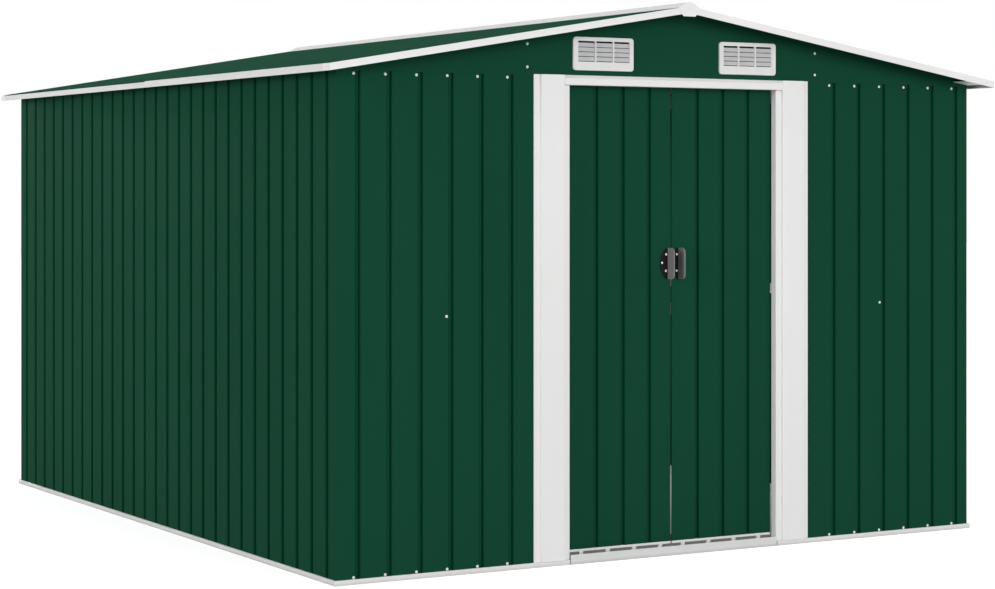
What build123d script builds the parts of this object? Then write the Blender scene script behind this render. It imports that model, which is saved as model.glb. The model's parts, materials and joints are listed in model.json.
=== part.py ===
from build123d import *
import math
import os

# Metal storage shed with a low gable roof and two doors that slide behind the front wall.
# Millimetres. The origin is on the ground under the middle of the shed, +Z is up,
# and the doors face -Y. Points on a wall are (along, outward) in plan and
# (outward, height) in section, with outward 0 on the wall's outer face.

os.makedirs("parts", exist_ok=True)

# Whole shed
wall_width = 2456.5  # over the outer faces of the side walls
wall_depth = 2828.5  # over the outer faces of the front and rear walls
wall_top = 1540.0  # top edge of the grooved wall sheets
eave_overhang = 56.75  # from the side walls out to the caps on the eave corners
gable_overhang = 75.75  # from the front and rear walls out to the same caps
eave_rise = 16.0  # from the wall sheets up to the roof surface at the eaves
roof_rise = 214.0  # from the eaves up to the ridge
sheet = 1.0  # thickness of the steel sheet
seam = 0.3  # joint left between neighbouring pieces
overrun = 10.0  # how far a cut reaches past the piece

# Grooves rolled into the wall, roof and door sheets
groove_mouth = 17.0
groove_floor = 8.0
groove_depth = 8.0
side_groove_start = 60.6  # from the front corner
side_groove_pitch = 103.73
front_left_groove_start = 73.7  # from the left corner
front_right_groove_start = 52.3  # from the right corner
front_groove_pitch = 106.86
left_leaf_groove_start = 87.0  # from the line where the doors meet
right_leaf_groove_start = 101.5
leaf_groove_pitch = 101.3
side_sheet_count = 4
rear_sheet_count = 3
roof_sheet_count = 4

# Base rails that the wall sheets stand in
rail_height = 16.0
rail_proud = 7.0
rail_upstand = 35.0

# Rails along the top and the middle of the walls
top_rail_flange = 30.0
gable_upstand = 12.0
mid_rail_height = 795.0  # middle of the rails and of the doors' braces
mid_rail_width = 40.0
mid_rail_depth = 12.0

# Doorway with its jambs, head and sill
doorway_width = 806.2
doorway_shift = -3.7  # from the middle of the shed to the middle of the doorway
jamb_proud = 10.0
jamb_flange = 22.7  # on both sides of the raised face
jamb_face = 86.75
head_drop = 28.5  # from the top of the wall sheets down to the head's lower edge
head_face = 21.0  # upright part of the head, under its sloped top
head_height = 31.5
sill_height = 31.0

# Sliding doors
door_setback = 28.0  # from the wall face in to the face of the doors
running_clearance = 5.0  # between the doors and the folded edges round the doorway
leaf_gap = 5.0  # between the closed doors
leaf_margin = 1.0  # between a closed door and the plane of the jamb's edge
leaf_cover = 4.0  # how far the doors reach up behind the head
leaf_stile = 20.0  # depth of the folded edges
sill_clearance = 3.0  # between the sill and the doors above it
door_rail_face = 7.5
door_rail_upstand = 26.0
door_top_rail = 24.0
door_brace_width = 40.0
lug_thickness = 5.0
lug_width = 15.0
lug_clearance = 6.5  # over the floor of the lower track
lug_count = 4
lug_pitch = 101.0
left_lug_start = 42.8  # from the line where the doors meet
right_lug_start = 46.2
hanger_thickness = 6.0
hanger_width = 40.0
hanger_head_thickness = 18.0
hanger_head_height = 6.0
hanger_inset = 70.0  # from the edges of a door to the middle of its hangers

# Tracks that the doors hang in and are guided by
track_sheet = 1.5
track_clearance = 6.0  # between the doors and the upper track
track_height = 24.0
track_slot = 12.0
track_lip = 7.0
track_spare = 30.0  # past the open doors
guide_clearance = 10.0  # between the lower track and the doors

# Door handles
handle_height = 940.0
handle_length = 105.0
handle_plate_width = 26.0
handle_plate_edge = 10.0  # width of the plate at its upper and lower ends
handle_plate_thickness = 3.0
fin_thickness = 3.0
fin_reach = 38.0
fin_radius = 14.0
left_handle_edge = -12.0  # from the line where the doors meet
right_handle_edge = 30.0
handle_clearance = 18.8  # between the handle of an open door and the jamb

# Roof frame
ridge_beam_width = 50.0
ridge_beam_depth = 50.0
purlin_place = 562.0  # from the ridge line out to the purlin's web
purlin_depth = 50.0
purlin_flange = 40.0

# Trims round the roof
cap_thickness = 0.8
trim_height = 21.8
eave_lap = 1528.0  # from the rear end to the joint of an eave trim
eave_lap_step = 2.5  # how much lower the rear length of an eave trim is
gable_trim_toe = 62.0  # length of the flange under the foot of a gable trim
ridge_cap_rise = 13.5
ridge_cap_half_width = 40.0
ridge_cap_crown = 13.0  # half the width of the crown
end_cap_drop = 33.0  # from the ridge down to the foot of an end cap
end_cap_foot = 46.0
end_cap_width = 88.0
corner_cap_side = 50.0
corner_cap_end = 28.0

# Louvred vents in the gables
vent_width = 228.0
vent_height = 106.0
vent_radius = 10.0
vent_place = 282.0  # from the middle out to the vent's centre
vent_rise = 71.7  # from the wall sheets up to the vent's centre
vent_proud = 6.0
vent_blade = 1.4
vent_slat_count = 5
vent_field_shares = (0.08, 0.91)
vent_field_height_shares = (0.245, 0.88)
vent_mullion_shares = (0.345, 0.635)
vent_mullion = 5.0
vent_hole_margin = 4.0  # round the louvres, in the gable sheet

# Worked out from the sizes above
half_width = wall_width / 2
half_depth = wall_depth / 2
half_roof = half_width + eave_overhang
half_length = half_depth + gable_overhang
ridge_height = wall_top + eave_rise + roof_rise
slope = roof_rise / half_roof
pitch = math.atan(slope)
wall_thickness = groove_depth + sheet
sheet_foot = sheet
door_edge = doorway_width / 2
wall_edge = door_edge + 2 * sheet + seam
face_edge = door_edge + jamb_flange  # inner edge of a jamb's raised face
jamb_outer = face_edge + jamb_face + jamb_flange
jamb_return = door_setback - running_clearance  # how far in the edges round the doorway turn
head_bottom = wall_top - head_drop
head_top = head_bottom + head_height
top_rail_bottom = head_bottom + 2 * sheet
door_face = -half_depth + door_setback
left_reach = door_edge - doorway_shift + left_handle_edge - handle_plate_width
right_reach = door_edge + doorway_shift - right_handle_edge
door_travel = min(left_reach, right_reach) - handle_clearance
leaf_inner = leaf_gap / 2
left_leaf_outer = door_edge - doorway_shift - leaf_margin
right_leaf_outer = door_edge + doorway_shift - leaf_margin
leaf_top = head_bottom + leaf_cover
door_rail_bottom = sill_height + sill_clearance
leaf_bottom = door_rail_bottom + door_rail_face
hang_line = (wall_thickness + leaf_stile - seam) / 2  # behind the face of the doors
track_line = door_setback + hang_line  # behind the wall face
track_half = max(left_leaf_outer, right_leaf_outer) + door_travel + track_spare
slot_front = -track_line + track_slot / 2
slot_rear = -track_line - track_slot / 2
track_bottom = leaf_top + track_clearance
track_top = track_bottom + track_height
guide_height = door_rail_bottom - guide_clearance
guide_line = -door_setback - lug_thickness / 2  # middle of the lugs, which hang behind the doors' face
guide_front = -jamb_return - seam
guide_rear = 2 * guide_line - guide_front
lug_bottom = track_sheet + lug_clearance
trim_side = half_roof - cap_thickness
trim_end = half_length - cap_thickness
sheet_end_place = trim_end - sheet - seam


def roof_surface(x):
    """Height of the roof's flats at a distance from the ridge line."""
    return ridge_height - slope * abs(x)


def roof_underside(x):
    """Height of the lowest face of the roof sheets, which rests on the frame."""
    return roof_surface(x) - wall_thickness / math.cos(pitch)


def groove_row(start, groove_pitch, end):
    """Centres of the grooves from start on, as many as fit before end."""
    count = math.floor((end - start) / groove_pitch) + 1
    return [start + i * groove_pitch for i in range(count)]


def centred_row(length, margin, groove_pitch):
    """Centres of a row of grooves set in the middle of a length."""
    row = groove_row(margin, groove_pitch, length - margin)
    shift = (length - row[0] - row[-1]) / 2
    return [centre + shift for centre in row]


side_grooves = groove_row(side_groove_start, side_groove_pitch, wall_depth - side_groove_start)
front_panel_end = half_width - jamb_outer - groove_mouth / 2
left_panel_end = front_panel_end + doorway_shift
right_panel_end = front_panel_end - doorway_shift
front_left_grooves = groove_row(front_left_groove_start, front_groove_pitch, left_panel_end)
front_right_grooves = groove_row(front_right_groove_start, front_groove_pitch, right_panel_end)
rear_grooves = centred_row(wall_width, front_left_groove_start, front_groove_pitch)
roof_grooves = centred_row(2 * sheet_end_place, side_groove_start, side_groove_pitch)
left_leaf_end = left_leaf_outer - groove_mouth
right_leaf_end = right_leaf_outer - groove_mouth
left_leaf_grooves = groove_row(left_leaf_groove_start, leaf_groove_pitch, left_leaf_end)
right_leaf_grooves = groove_row(right_leaf_groove_start, leaf_groove_pitch, right_leaf_end)


def set_off(points, distance):
    """A folded line moved sideways, to the left of its run if positive, with mitred corners."""
    corners = [Vector(*point) for point in points]
    runs = [after - before for before, after in zip(corners, corners[1:])]
    normals = [Vector(-run.Y, run.X).normalized() for run in runs]
    moved = [corners[0] + normals[0] * distance]
    for corner, before, after in zip(corners[1:-1], normals, normals[1:]):
        middle = before + after
        moved.append(corner + middle * (2 * distance / middle.dot(middle)))
    moved.append(corners[-1] + normals[-1] * distance)
    return [(point.X, point.Y) for point in moved]


def folded(points, thickness):
    """Outline of a sheet folded along points, its thickness left of the run if positive."""
    return points + set_off(points, thickness)[::-1]


def closed_face(points):
    """Face inside an outline, in the sketch that is open."""
    with BuildLine() as outline:
        Polyline(*points, close=True)
    make_face(outline.edges())


def groove(centre):
    """The four corners of a groove, as (along, outward) points."""
    mouth = groove_mouth / 2
    floor = groove_floor / 2
    return [
        (centre - mouth, 0),
        (centre - floor, -groove_depth),
        (centre + floor, -groove_depth),
        (centre + mouth, 0),
    ]


def from_groove(centre):
    """Start of a sheet in the floor of a groove."""
    return [(centre + seam / 2, -groove_depth)] + groove(centre)[2:]


def to_groove(centre):
    """End of a sheet in the floor of a groove."""
    return groove(centre)[:2] + [(centre - seam / 2, -groove_depth)]


def lapped_sheet(grooves):
    """Outline of a sheet whose edges lie in the floors of its first and last grooves."""
    line = from_groove(grooves[0])
    for centre in grooves[1:-1]:
        line += groove(centre)
    return folded(line + to_groove(grooves[-1]), -sheet)


def shared_out(grooves, count):
    """The grooves of each sheet where a row is made of several sheets."""
    ends = [round(i * (len(grooves) - 1) / count) for i in range(count + 1)]
    return [grooves[first : last + 1] for first, last in zip(ends, ends[1:])]


def upright(y):
    """Plane that faces -Y at a depth, for sketches in X and Z."""
    return Plane.XZ.offset(-y)


def along_x(outline, end, half, middle=0):
    """Extrude an (outward, height) outline along the front wall, end -1, or the rear wall, end 1."""
    with BuildSketch(Plane.YZ.offset(middle)) as section:
        closed_face([(end * (half_depth + out), height) for out, height in outline])
    extrude(section.sketch, amount=half, both=True)


def along_y(outline, side, half):
    """Extrude an (outward, height) outline along the left wall, side -1, or the right wall, side 1."""
    with BuildSketch(Plane.XZ) as section:
        closed_face([(side * (half_width + out), height) for out, height in outline])
    extrude(section.sketch, amount=half, both=True)


def mitre(side, end, toward):
    """Upright plane across a corner of the walls, set back by half a seam."""
    return Plane(origin=(side * half_width, end * half_depth, 0), z_dir=toward).offset(seam / 2)


# Base rails
rail_line = [
    (seam, rail_height),
    (rail_proud, rail_height),
    (rail_proud, 0),
    (-wall_thickness - sheet, 0),
    (-wall_thickness - sheet, rail_upstand),
]
rail_outline = folded(rail_line, -sheet)


def end_base_rail(end):
    """Base rail of the front or rear wall, mitred at both corners."""
    with BuildPart() as rail:
        along_x(rail_outline, end, half_width + rail_proud)
        for side in (-1, 1):
            split(bisect_by=mitre(side, end, (-side, end, 0)), keep=Keep.TOP)
    return rail


def side_base_rail(side):
    """Base rail of a side wall, mitred at both corners."""
    with BuildPart() as rail:
        along_y(rail_outline, side, half_depth + rail_proud)
        for end in (-1, 1):
            split(bisect_by=mitre(side, end, (side, -end, 0)), keep=Keep.TOP)
    return rail


base_rail_rear = end_base_rail(1)
base_rail_left = side_base_rail(-1)
base_rail_right = side_base_rail(1)

with BuildPart() as base_rail_front:
    add(end_base_rail(-1).part)
    with BuildSketch():
        with Locations((doorway_shift, -half_depth)):
            Rectangle(2 * wall_edge, 2 * (wall_thickness + rail_proud + overrun))
    extrude(amount=rail_upstand + overrun, mode=Mode.SUBTRACT)

with BuildPart() as door_sill:
    sill_line = [
        (-jamb_return, 0),
        (rail_proud, 0),
        (rail_proud, sill_height),
    ]
    along_x(folded(sill_line, sheet), -1, door_edge - seam, doorway_shift)


# Wall sheets
def side_wall(side):
    """Grooved sheets of a side wall, between the corner panels."""
    with BuildPart() as wall:
        with BuildSketch(Plane.XY.offset(sheet_foot)):
            for grooves in shared_out(side_grooves, side_sheet_count):
                outline = lapped_sheet(grooves)
                closed_face([(side * (half_width + out), run - half_depth) for run, out in outline])
        extrude(amount=wall_top - sheet_foot)
    return wall


def front_wall(side, grooves):
    """Grooved sheet of the front wall from a corner panel to the doorway."""
    line = from_groove(grooves[0])
    for centre in grooves[1:]:
        line += groove(centre)
    line += [(half_width - wall_edge - side * doorway_shift, 0)]
    with BuildPart() as wall:
        with BuildSketch(Plane.XY.offset(sheet_foot)):
            outline = folded(line, -sheet)
            closed_face([(side * (half_width - run), -half_depth - out) for run, out in outline])
        extrude(amount=wall_top - sheet_foot)
    return wall


def corner_panel(side, end, side_run, end_run):
    """Sheet folded round a corner, as far as the first groove on each wall."""
    side_line = [(half_width + out, half_depth - run) for run, out in to_groove(side_run)]
    end_line = [(half_width - run, half_depth + out) for run, out in to_groove(end_run)]
    line = side_line[::-1] + [(half_width, half_depth)] + end_line
    with BuildPart() as panel:
        with BuildSketch(Plane.XY.offset(sheet_foot)):
            closed_face([(side * x, end * y) for x, y in folded(line, sheet)])
        extrude(amount=wall_top - sheet_foot)
    return panel


left_wall = side_wall(-1)
right_wall = side_wall(1)
front_wall_left = front_wall(-1, front_left_grooves)
front_wall_right = front_wall(1, front_right_grooves)

with BuildPart() as rear_wall:
    with BuildSketch(Plane.XY.offset(sheet_foot)):
        for rear_run in shared_out(rear_grooves, rear_sheet_count):
            closed_face([(run - half_width, half_depth + out) for run, out in lapped_sheet(rear_run)])
    extrude(amount=wall_top - sheet_foot)

rear_side_run = wall_depth - side_grooves[-1]
corner_panel_front_left = corner_panel(-1, -1, side_grooves[0], front_left_grooves[0])
corner_panel_front_right = corner_panel(1, -1, side_grooves[0], front_right_grooves[0])
corner_panel_rear_left = corner_panel(-1, 1, rear_side_run, rear_grooves[0])
corner_panel_rear_right = corner_panel(1, 1, rear_side_run, rear_grooves[0])


# Gables and their vents
vent_left = vent_place - vent_width / 2
vent_centre_height = wall_top + vent_rise
vent_low = vent_centre_height - vent_height / 2
field_left = vent_left + vent_field_shares[0] * vent_width
field_right = vent_left + vent_field_shares[1] * vent_width
field_low = vent_low + vent_field_height_shares[0] * vent_height
field_high = vent_low + vent_field_height_shares[1] * vent_height
field_width = field_right - field_left
field_height = field_high - field_low
field_middle = ((field_left + field_right) / 2, (field_low + field_high) / 2)


def gable(end):
    """Flat sheet of a gable, from the wall sheets up to the roof, with a hole behind each vent."""
    foot = wall_top + seam
    with BuildPart() as wall:
        with BuildSketch(upright(end * half_depth)):
            closed_face([
                (-half_width, foot),
                (half_width, foot),
                (half_width, roof_underside(half_width) - seam),
                (0, roof_underside(0) - seam),
                (-half_width, roof_underside(half_width) - seam),
            ])
            with Locations(field_middle, (-field_middle[0], field_middle[1])):
                Rectangle(
                    field_width + 2 * vent_hole_margin,
                    field_height + 2 * vent_hole_margin,
                    mode=Mode.SUBTRACT,
                )
        extrude(amount=end * sheet)
    return wall


def vents(end):
    """Two louvred vents on the outside of a gable."""
    slat_pitch = field_height / vent_slat_count
    with BuildPart() as pair:
        for side in (-1, 1):
            with BuildSketch(upright(end * half_depth)):
                with Locations((side * vent_place, vent_centre_height)):
                    RectangleRounded(vent_width, vent_height, vent_radius)
                with Locations((side * field_middle[0], field_middle[1])):
                    Rectangle(field_width, field_height, mode=Mode.SUBTRACT)
                for share in vent_mullion_shares:
                    with Locations((side * (vent_left + share * vent_width), field_middle[1])):
                        Rectangle(vent_mullion, field_height)
            extrude(amount=-end * vent_proud)
            with BuildSketch(Plane.YZ.offset(side * field_middle[0])):
                for slat in range(vent_slat_count):
                    low = field_low + slat * slat_pitch + vent_blade
                    high = low + slat_pitch - 2 * vent_blade
                    line = [(vent_proud - vent_blade, low), (vent_blade, high)]
                    outline = folded(line, -vent_blade)
                    closed_face([(end * (half_depth + out), height) for out, height in outline])
            extrude(amount=field_width / 2 + vent_blade, both=True)
    return pair


front_gable = gable(-1)
rear_gable = gable(1)
front_vents = vents(-1)
rear_vents = vents(1)


# Rails inside the walls
def end_top_rail(end):
    """Stepped rail that joins the top of the wall sheets to the gable sheet."""
    line = [
        (-wall_thickness, top_rail_bottom),
        (-wall_thickness, wall_top + sheet),
        (-sheet, wall_top + sheet),
        (-sheet, wall_top + gable_upstand),
    ]
    with BuildPart() as rail:
        along_x(folded(line, sheet), end, half_width - wall_thickness - sheet - seam)
    return rail


def side_top_rail(side):
    """Rail on top of a side wall, with a flange that the roof sheets rest on."""
    web = half_width - wall_thickness
    line = [
        (-wall_thickness, top_rail_bottom),
        (-wall_thickness, roof_underside(web)),
        (-wall_thickness - top_rail_flange, roof_underside(web - top_rail_flange)),
    ]
    with BuildPart() as rail:
        along_y(folded(line, sheet), side, half_depth - sheet - seam)
    return rail


top_rail_front = end_top_rail(-1)
top_rail_rear = end_top_rail(1)
top_rail_left = side_top_rail(-1)
top_rail_right = side_top_rail(1)

mid_rail_top = mid_rail_height + mid_rail_width / 2
mid_rail_line = [
    (-wall_thickness, mid_rail_top - mid_rail_width),
    (-wall_thickness, mid_rail_top),
    (-wall_thickness - mid_rail_depth, mid_rail_top),
]
mid_rail_outline = folded(mid_rail_line, sheet)
end_rail_half = half_width - wall_thickness - mid_rail_depth - seam

with BuildPart() as wall_mid_rails:
    for side in (-1, 1):
        along_y(mid_rail_outline, side, half_depth - sheet - seam)
    for end in (-1, 1):
        along_x(mid_rail_outline, end, end_rail_half)
    with BuildSketch(Plane.XY.offset(mid_rail_top - mid_rail_width - overrun)):
        with Locations((doorway_shift, -half_depth)):
            Rectangle(2 * wall_edge, 2 * (wall_thickness + mid_rail_depth + overrun))
    extrude(amount=mid_rail_width + 2 * overrun, mode=Mode.SUBTRACT)


# Doorway
def door_jamb(side):
    """Jamb folded to a shallow hat with flat flanges, turned in beside the doorway and cut for the head."""
    flange_face = sheet + seam
    line = [
        (jamb_outer, flange_face),
        (jamb_outer - jamb_flange, flange_face),
        (jamb_outer - jamb_flange, jamb_proud),
        (face_edge, jamb_proud),
        (face_edge, flange_face),
        (door_edge, flange_face),
        (door_edge, -jamb_return),
    ]
    head_corner = [
        (door_edge - overrun, head_bottom - seam),
        (face_edge, head_bottom - seam),
        (face_edge, head_top + overrun),
        (door_edge - overrun, head_top + overrun),
    ]
    with BuildPart() as jamb:
        with BuildSketch(Plane.XY.offset(rail_height + seam)):
            closed_face([(doorway_shift + side * x, -half_depth - out) for x, out in folded(line, sheet)])
        extrude(amount=head_top - rail_height - seam)
        with BuildSketch(upright(-half_depth)):
            closed_face([(doorway_shift + side * x, height) for x, height in head_corner])
        extrude(amount=jamb_proud + jamb_return + overrun, both=True, mode=Mode.SUBTRACT)
    return jamb


door_jamb_left = door_jamb(-1)
door_jamb_right = door_jamb(1)

with BuildPart() as door_head:
    head_line = [
        (-jamb_return, head_bottom),
        (jamb_proud, head_bottom),
        (jamb_proud, head_bottom + head_face),
        (sheet + seam, head_top),
    ]
    head_half = face_edge - seam
    along_x(folded(head_line, sheet), -1, head_half, doorway_shift)
    behind_wall = [
        (wall_edge - seam, seam),
        (head_half + overrun, seam),
        (head_half + overrun, -jamb_return - overrun),
        (wall_edge - seam, -jamb_return - overrun),
    ]
    with BuildSketch(Plane.XY.offset(head_bottom)):
        for side in (-1, 1):
            closed_face([(doorway_shift + side * x, -half_depth - out) for x, out in behind_wall])
    extrude(amount=head_height, mode=Mode.SUBTRACT)

with BuildPart() as upper_door_track:
    track_front = -wall_thickness - sheet
    upper_line = [
        (slot_front, track_bottom),
        (track_front, track_bottom),
        (track_front, track_top),
        (slot_rear - track_lip, track_top),
        (slot_rear - track_lip, track_bottom),
        (slot_rear, track_bottom),
    ]
    along_x(folded(upper_line, track_sheet), -1, track_half)

with BuildPart() as lower_door_track:
    with BuildSketch(Plane.YZ):
        guide_line_up = [
            (guide_front, guide_height),
            (guide_front, 0),
            (guide_rear, 0),
            (guide_rear, guide_height),
        ]
        guide_outline = folded(guide_line_up, -track_sheet)
        closed_face([(-half_depth - out, height) for out, height in guide_outline])
    extrude(amount=track_half, both=True)


# Doors
def door_panel(side, grooves, leaf_outer):
    """Grooved sheet of a door with both edges folded back."""
    line = [(leaf_inner, seam - leaf_stile), (leaf_inner, 0)]
    for centre in grooves:
        line += groove(centre)
    line += [(leaf_outer, 0), (leaf_outer, seam - leaf_stile)]
    with BuildPart() as panel:
        with BuildSketch(Plane.XY.offset(leaf_bottom)):
            closed_face([(side * x, door_face - out) for x, out in folded(line, -sheet)])
        extrude(amount=leaf_top - leaf_bottom)
    return panel


def door_bar(outline, side, first, last):
    """Extrude an (outward, height) outline across the back of a door, between two distances."""
    with BuildSketch(Plane.YZ.offset(side * first)) as section:
        closed_face([(door_face - out, height) for out, height in outline])
    extrude(section.sketch, amount=side * (last - first))


def door_rails(side, leaf_outer, lug_start):
    """Top rail with its hangers, brace, and bottom rail with its guide lugs."""
    inner = leaf_inner + sheet + seam
    outer = leaf_outer - sheet - seam
    back = seam - leaf_stile
    hang_place = -hang_line
    top_line = [
        (-wall_thickness, leaf_top - door_top_rail),
        (-wall_thickness, leaf_top),
        (back, leaf_top),
        (back, leaf_top - door_top_rail),
    ]
    brace_top = mid_rail_height + door_brace_width / 2
    brace_line = [
        (-wall_thickness, brace_top - door_brace_width),
        (-wall_thickness, brace_top),
        (back, brace_top),
        (back, brace_top - door_brace_width),
    ]
    bottom_line = [
        (0, leaf_bottom),
        (0, door_rail_bottom),
        (-leaf_stile - sheet, door_rail_bottom),
        (-leaf_stile - sheet, door_rail_bottom + door_rail_upstand),
    ]
    head_foot = track_bottom + track_sheet + seam
    stem = hanger_thickness / 2
    head = hanger_head_thickness / 2
    hanger = [
        (hang_place - stem, leaf_top),
        (hang_place + stem, leaf_top),
        (hang_place + stem, head_foot),
        (hang_place + head, head_foot),
        (hang_place + head, head_foot + hanger_head_height),
        (hang_place - head, head_foot + hanger_head_height),
        (hang_place - head, head_foot),
        (hang_place - stem, head_foot),
    ]
    lug = [
        (-lug_thickness, lug_bottom),
        (0, lug_bottom),
        (0, door_rail_bottom),
        (-lug_thickness, door_rail_bottom),
    ]
    with BuildPart() as rails:
        door_bar(folded(top_line, sheet), side, inner, outer)
        door_bar(folded(brace_line, sheet), side, inner, outer)
        door_bar(folded(bottom_line, -sheet), side, leaf_inner, leaf_outer)
        for middle in (leaf_inner + hanger_inset, leaf_outer - hanger_inset):
            door_bar(hanger, side, middle - hanger_width / 2, middle + hanger_width / 2)
        for number in range(lug_count):
            middle = lug_start + number * lug_pitch
            door_bar(lug, side, middle - lug_width / 2, middle + lug_width / 2)
    return rails


def door_handle(edge):
    """Pull with a round-backed plate on the door and a fin standing out of its right edge."""
    half = handle_length / 2
    low = handle_height - half
    high = handle_height + half
    with BuildPart() as handle:
        with BuildSketch(upright(door_face)):
            with BuildLine():
                Polyline(
                    (edge - handle_plate_edge, low),
                    (edge, low),
                    (edge, high),
                    (edge - handle_plate_edge, high),
                )
                ThreePointArc(
                    (edge - handle_plate_edge, high),
                    (edge - handle_plate_width, handle_height),
                    (edge - handle_plate_edge, low),
                )
            make_face()
        extrude(amount=handle_plate_thickness)
        with BuildSketch(Plane.YZ.offset(edge - fin_thickness)):
            with Locations((door_face - fin_reach / 2, handle_height)):
                Rectangle(fin_reach, handle_length)
            outer_corners = vertices().group_by(Axis.Y)[0]
            fillet(outer_corners, radius=fin_radius)
        extrude(amount=fin_thickness)
    return handle


left_door_panel = door_panel(-1, left_leaf_grooves, left_leaf_outer)
right_door_panel = door_panel(1, right_leaf_grooves, right_leaf_outer)
left_door_rails = door_rails(-1, left_leaf_outer, left_lug_start)
right_door_rails = door_rails(1, right_leaf_outer, right_lug_start)
left_door_handle = door_handle(left_handle_edge)
right_door_handle = door_handle(right_handle_edge)

# Roof frame
with BuildPart() as ridge_beam:
    beam_half = ridge_beam_width / 2
    beam_low = roof_underside(beam_half) - ridge_beam_depth
    beam_line = [
        (beam_half, beam_low),
        (beam_half, roof_underside(beam_half)),
        (0, roof_underside(0)),
        (-beam_half, roof_underside(beam_half)),
        (-beam_half, beam_low),
    ]
    with BuildSketch(Plane.XZ):
        closed_face(folded(beam_line, sheet))
    extrude(amount=half_depth - sheet - seam, both=True)

with BuildPart() as roof_purlins:
    purlin_low = roof_underside(purlin_place) - purlin_depth
    purlin_line = [
        (purlin_place + purlin_flange, roof_underside(purlin_place + purlin_flange)),
        (purlin_place, roof_underside(purlin_place)),
        (purlin_place, purlin_low),
        (purlin_place + purlin_flange, purlin_low),
    ]
    with BuildSketch(Plane.XZ):
        for side in (-1, 1):
            closed_face([(side * x, height) for x, height in folded(purlin_line, sheet)])
    extrude(amount=half_depth - sheet - seam, both=True)


# Roof sheets and trims
def roof_sheet(grooves):
    """Outline of a roof sheet, where the first and the last one run on to the gable trims."""
    line = from_groove(grooves[0])
    if grooves[0] == roof_grooves[0]:
        line = [(0, 0)] + groove(grooves[0])
    for centre in grooves[1:-1]:
        line += groove(centre)
    if grooves[-1] == roof_grooves[-1]:
        line += groove(grooves[-1]) + [(2 * sheet_end_place, 0)]
    else:
        line += to_groove(grooves[-1])
    return folded(line, -sheet)


def roof_slope(side):
    """Grooved sheets of one slope, from the ridge down to the eave trim."""
    down = (side * math.cos(pitch), 0, -math.sin(pitch))
    ridge = Plane(origin=(0, 0, ridge_height), x_dir=(0, side, 0), z_dir=down)
    gap = wall_thickness * math.tan(pitch) + seam
    length = (trim_side - sheet - seam) / math.cos(pitch)
    with BuildPart() as roof:
        with BuildSketch(ridge.offset(gap)):
            for grooves in shared_out(roof_grooves, roof_sheet_count):
                closed_face([(run - sheet_end_place, out) for run, out in roof_sheet(grooves)])
        extrude(amount=length - gap)
    return roof


roof_left = roof_slope(-1)
roof_right = roof_slope(1)

with BuildPart() as ridge_cap:
    cap_edge = ridge_cap_half_width
    cap_foot = roof_surface(cap_edge) + sheet + seam
    cap_top = ridge_height + ridge_cap_rise
    crown_height = cap_top - slope * ridge_cap_crown
    cap_line = [
        (cap_edge, cap_foot),
        (ridge_cap_crown, crown_height),
        (0, cap_top),
        (-ridge_cap_crown, crown_height),
        (-cap_edge, cap_foot),
    ]
    cap_front = trim_end - seam
    with BuildSketch(upright(-cap_front)):
        closed_face(folded(cap_line, sheet))
    extrude(amount=-cap_front - half_depth)
    with BuildSketch(upright(half_depth)):
        closed_face(cap_line + [(0, ridge_height + sheet + seam)])
    extrude(amount=sheet)

with BuildPart() as ridge_end_caps:
    end_cap_edge = end_cap_width / 2
    end_cap_side = (end_cap_edge, roof_surface(end_cap_edge))
    foot_corner = (end_cap_foot / 2, ridge_height - end_cap_drop)
    front_half = [foot_corner, end_cap_side, (ridge_cap_crown, crown_height)]
    rear_half = [foot_corner, end_cap_side]
    for end, half, peak in ((-1, front_half, cap_top), (1, rear_half, ridge_height)):
        other_half = [(-x, height) for x, height in half[::-1]]
        with BuildSketch(upright(end * half_length)):
            closed_face(half + [(0, peak)] + other_half)
        extrude(amount=end * cap_thickness)

eave_top = roof_surface(trim_side)
eave_bottom = eave_top - trim_height


def eave_trim(side):
    """Fascia along an eave in two lengths, the rear one a little lower."""
    lap = trim_end - eave_lap
    front_length = (-trim_end, lap - seam / 2, trim_height)
    rear_length = (lap + seam / 2, trim_end, trim_height - eave_lap_step)
    with BuildPart() as trim:
        for first, last, height in (front_length, rear_length):
            with BuildSketch(Plane.XY.offset(eave_bottom)):
                closed_face([
                    (side * (trim_side - sheet), first),
                    (side * trim_side, first),
                    (side * trim_side, last),
                    (side * (trim_side - sheet), last),
                ])
            extrude(amount=height)
    return trim


def under_roof(first, last, top, bottom):
    """Outline that follows the right slope between two distances and two depths under the roof."""
    return [
        (first, roof_surface(first) - top),
        (last, roof_surface(last) - top),
        (last, roof_surface(last) - bottom),
        (first, roof_surface(first) - bottom),
    ]


def gable_trims(end):
    """Fascias up both slopes of a gable, with a flange in to the wall under each foot."""
    face = under_roof(seam / 2, trim_side - sheet - seam, 0, trim_height)
    toe = under_roof(half_width - gable_trim_toe, half_width, trim_height - sheet, trim_height)
    with BuildPart() as trims:
        for side in (-1, 1):
            for outline, depth in ((face, sheet), (toe, trim_end - half_depth - seam)):
                with BuildSketch(upright(end * trim_end)):
                    closed_face([(side * x, height) for x, height in outline])
                extrude(amount=end * depth)
    return trims


eave_trim_left = eave_trim(-1)
eave_trim_right = eave_trim(1)
gable_trims_front = gable_trims(-1)
gable_trims_rear = gable_trims(1)

with BuildPart() as eave_corner_caps:
    cap_end = under_roof(half_roof - corner_cap_end, half_roof, 0, trim_height)
    for side in (-1, 1):
        for end in (-1, 1):
            with BuildSketch(upright(end * half_length)):
                closed_face([(side * x, height) for x, height in cap_end])
            extrude(amount=end * cap_thickness)
            with BuildSketch(Plane.YZ.offset(side * half_roof)):
                closed_face([
                    (end * (half_length - corner_cap_side), eave_bottom),
                    (end * half_length, eave_bottom),
                    (end * half_length, eave_top),
                    (end * (half_length - corner_cap_side), eave_top),
                ])
            extrude(amount=-side * cap_thickness)

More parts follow.
